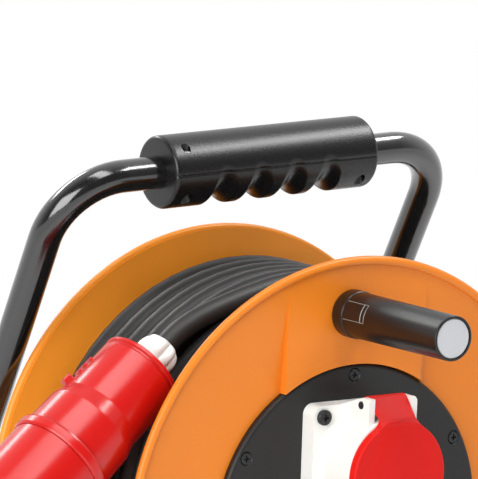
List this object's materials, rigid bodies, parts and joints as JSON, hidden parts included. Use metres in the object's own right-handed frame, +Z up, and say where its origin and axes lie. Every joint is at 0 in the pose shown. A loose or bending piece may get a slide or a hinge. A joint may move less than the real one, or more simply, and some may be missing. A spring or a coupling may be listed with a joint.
{
  "type": "extension cord reel",
  "caption": "Hand-wound extension cord reel: cable drum with a socket plate and crank knob in a bent tube frame with a carrying grip, its lead ending in a five-pin plug.",
  "frame": {"origin": "on the ground, at the middle in X and Y of the box round everything but the cable and its plug", "axes": "+Z up, +X along the carrying grip, +Y from the socket side to the rear"},
  "size_m": [0.3816, 0.2786, 0.3713],
  "materials": {
    "drum_plastic": "moulded polypropylene, satin gloss",
    "cable_rubber": "matt rubber cable sheath",
    "plate_plastic": "fine-textured moulded nylon",
    "seal_rubber": "matt rubber",
    "zinc_steel": "bright zinc-plated steel",
    "bronze": "sintered bronze",
    "contact_brass": "bright brass",
    "white_plastic": "satin moulded polyamide",
    "red_plastic": "satin-gloss moulded polyamide",
    "grey_plastic": "matt moulded polyamide",
    "knob_plastic": "satin moulded plastic",
    "cap_silver": "silver-grey disc",
    "grip_plastic": "satin-gloss moulded plastic",
    "tube_paint": "gloss black powder coat"
  },
  "bodies": {
    "frame": {"handle_frame": "tube_paint", "base_frame": "tube_paint", "rubber_feet": "seal_rubber", "joint_screws": "zinc_steel", "axle_bracket": "tube_paint", "bracket_bolts": "zinc_steel", "bracket_nuts": "zinc_steel", "axle": "zinc_steel", "axle_spacer": "zinc_steel", "axle_washer": "zinc_steel", "axle_nuts": "zinc_steel", "grip_upper": "grip_plastic", "grip_lower": "grip_plastic", "grip_screws": "zinc_steel", "cable_lead": "cable_rubber", "plug_gland_nut": "white_plastic", "plug_body": "red_plastic", "plug_ring": "red_plastic", "plug_shroud": "red_plastic", "plug_insert": "grey_plastic", "plug_pins": "contact_brass"},
    "drum": {"front_flange": "drum_plastic", "rear_flange": "drum_plastic", "drum_barrel": "drum_plastic", "barrel_screws": "zinc_steel", "hub_bush_front": "bronze", "hub_bush_rear": "bronze", "cable_core": "cable_rubber", "cable_winding": "cable_rubber", "socket_plate": "plate_plastic", "plate_gasket": "seal_rubber", "plate_screws": "zinc_steel", "power_housing": "white_plastic", "power_insert": "grey_plastic", "power_contacts": "contact_brass", "power_screws": "plate_plastic", "power_hinge_pin": "zinc_steel", "lid_springs": "zinc_steel", "twin_housing_left": "plate_plastic", "twin_housing_right": "plate_plastic", "twin_contacts": "contact_brass", "twin_hinge_pins": "zinc_steel", "cutout_body": "plate_plastic", "cutout_nut": "zinc_steel", "terminal_block": "white_plastic", "supply_tail": "cable_rubber", "socket_wires": "cable_rubber", "crank_pin": "zinc_steel", "crank_nut": "zinc_steel"},
    "crank_knob": {"knob_sleeve": "knob_plastic", "knob_cap": "cap_silver"},
    "three_phase_lid": {"power_lid": "red_plastic", "power_lid_seal": "seal_rubber"},
    "left_lid": {"twin_lid_left": "plate_plastic"},
    "right_lid": {"twin_lid_right": "plate_plastic"},
    "reset": {"reset_button": "red_plastic"}
  },
  "joints": [
    {"name": "drum_spin", "type": "hinge", "parent": "frame", "child": "drum", "pos_m": [0, 0.0177, 0.165], "axis": [0, 1, 0], "continuous": true},
    {"name": "crank_knob_spin", "type": "hinge", "parent": "drum", "child": "crank_knob", "pos_m": [-0.00001, -0.0923, 0.2795], "axis": [0, 1, 0], "continuous": true},
    {"name": "three_phase_lid_hinge", "type": "hinge", "parent": "drum", "child": "three_phase_lid", "pos_m": [0.00303, -0.0763, 0.23443], "axis": [-0.999, 0, 0.0436], "range_deg": [0, 100], "stiffness_Nm_per_rad": 0.02, "springref_deg": -34.38},
    {"name": "left_lid_hinge", "type": "hinge", "parent": "drum", "child": "left_lid", "pos_m": [-0.02283, -0.0579, 0.16029], "axis": [-0.999, 0, 0.0436], "range_deg": [0, 95], "stiffness_Nm_per_rad": 0.01, "springref_deg": -34.38},
    {"name": "right_lid_hinge", "type": "hinge", "parent": "drum", "child": "right_lid", "pos_m": [0.02233, -0.0579, 0.15832], "axis": [-0.999, 0, 0.0436], "range_deg": [0, 95], "stiffness_Nm_per_rad": 0.01, "springref_deg": -34.38},
    {"name": "reset_button_press", "type": "slide", "parent": "drum", "child": "reset", "axis": [0, 1, 0], "range_m": [0, 0.002], "stiffness_N_per_m": 400, "springref_m": -0.001}
  ]
}
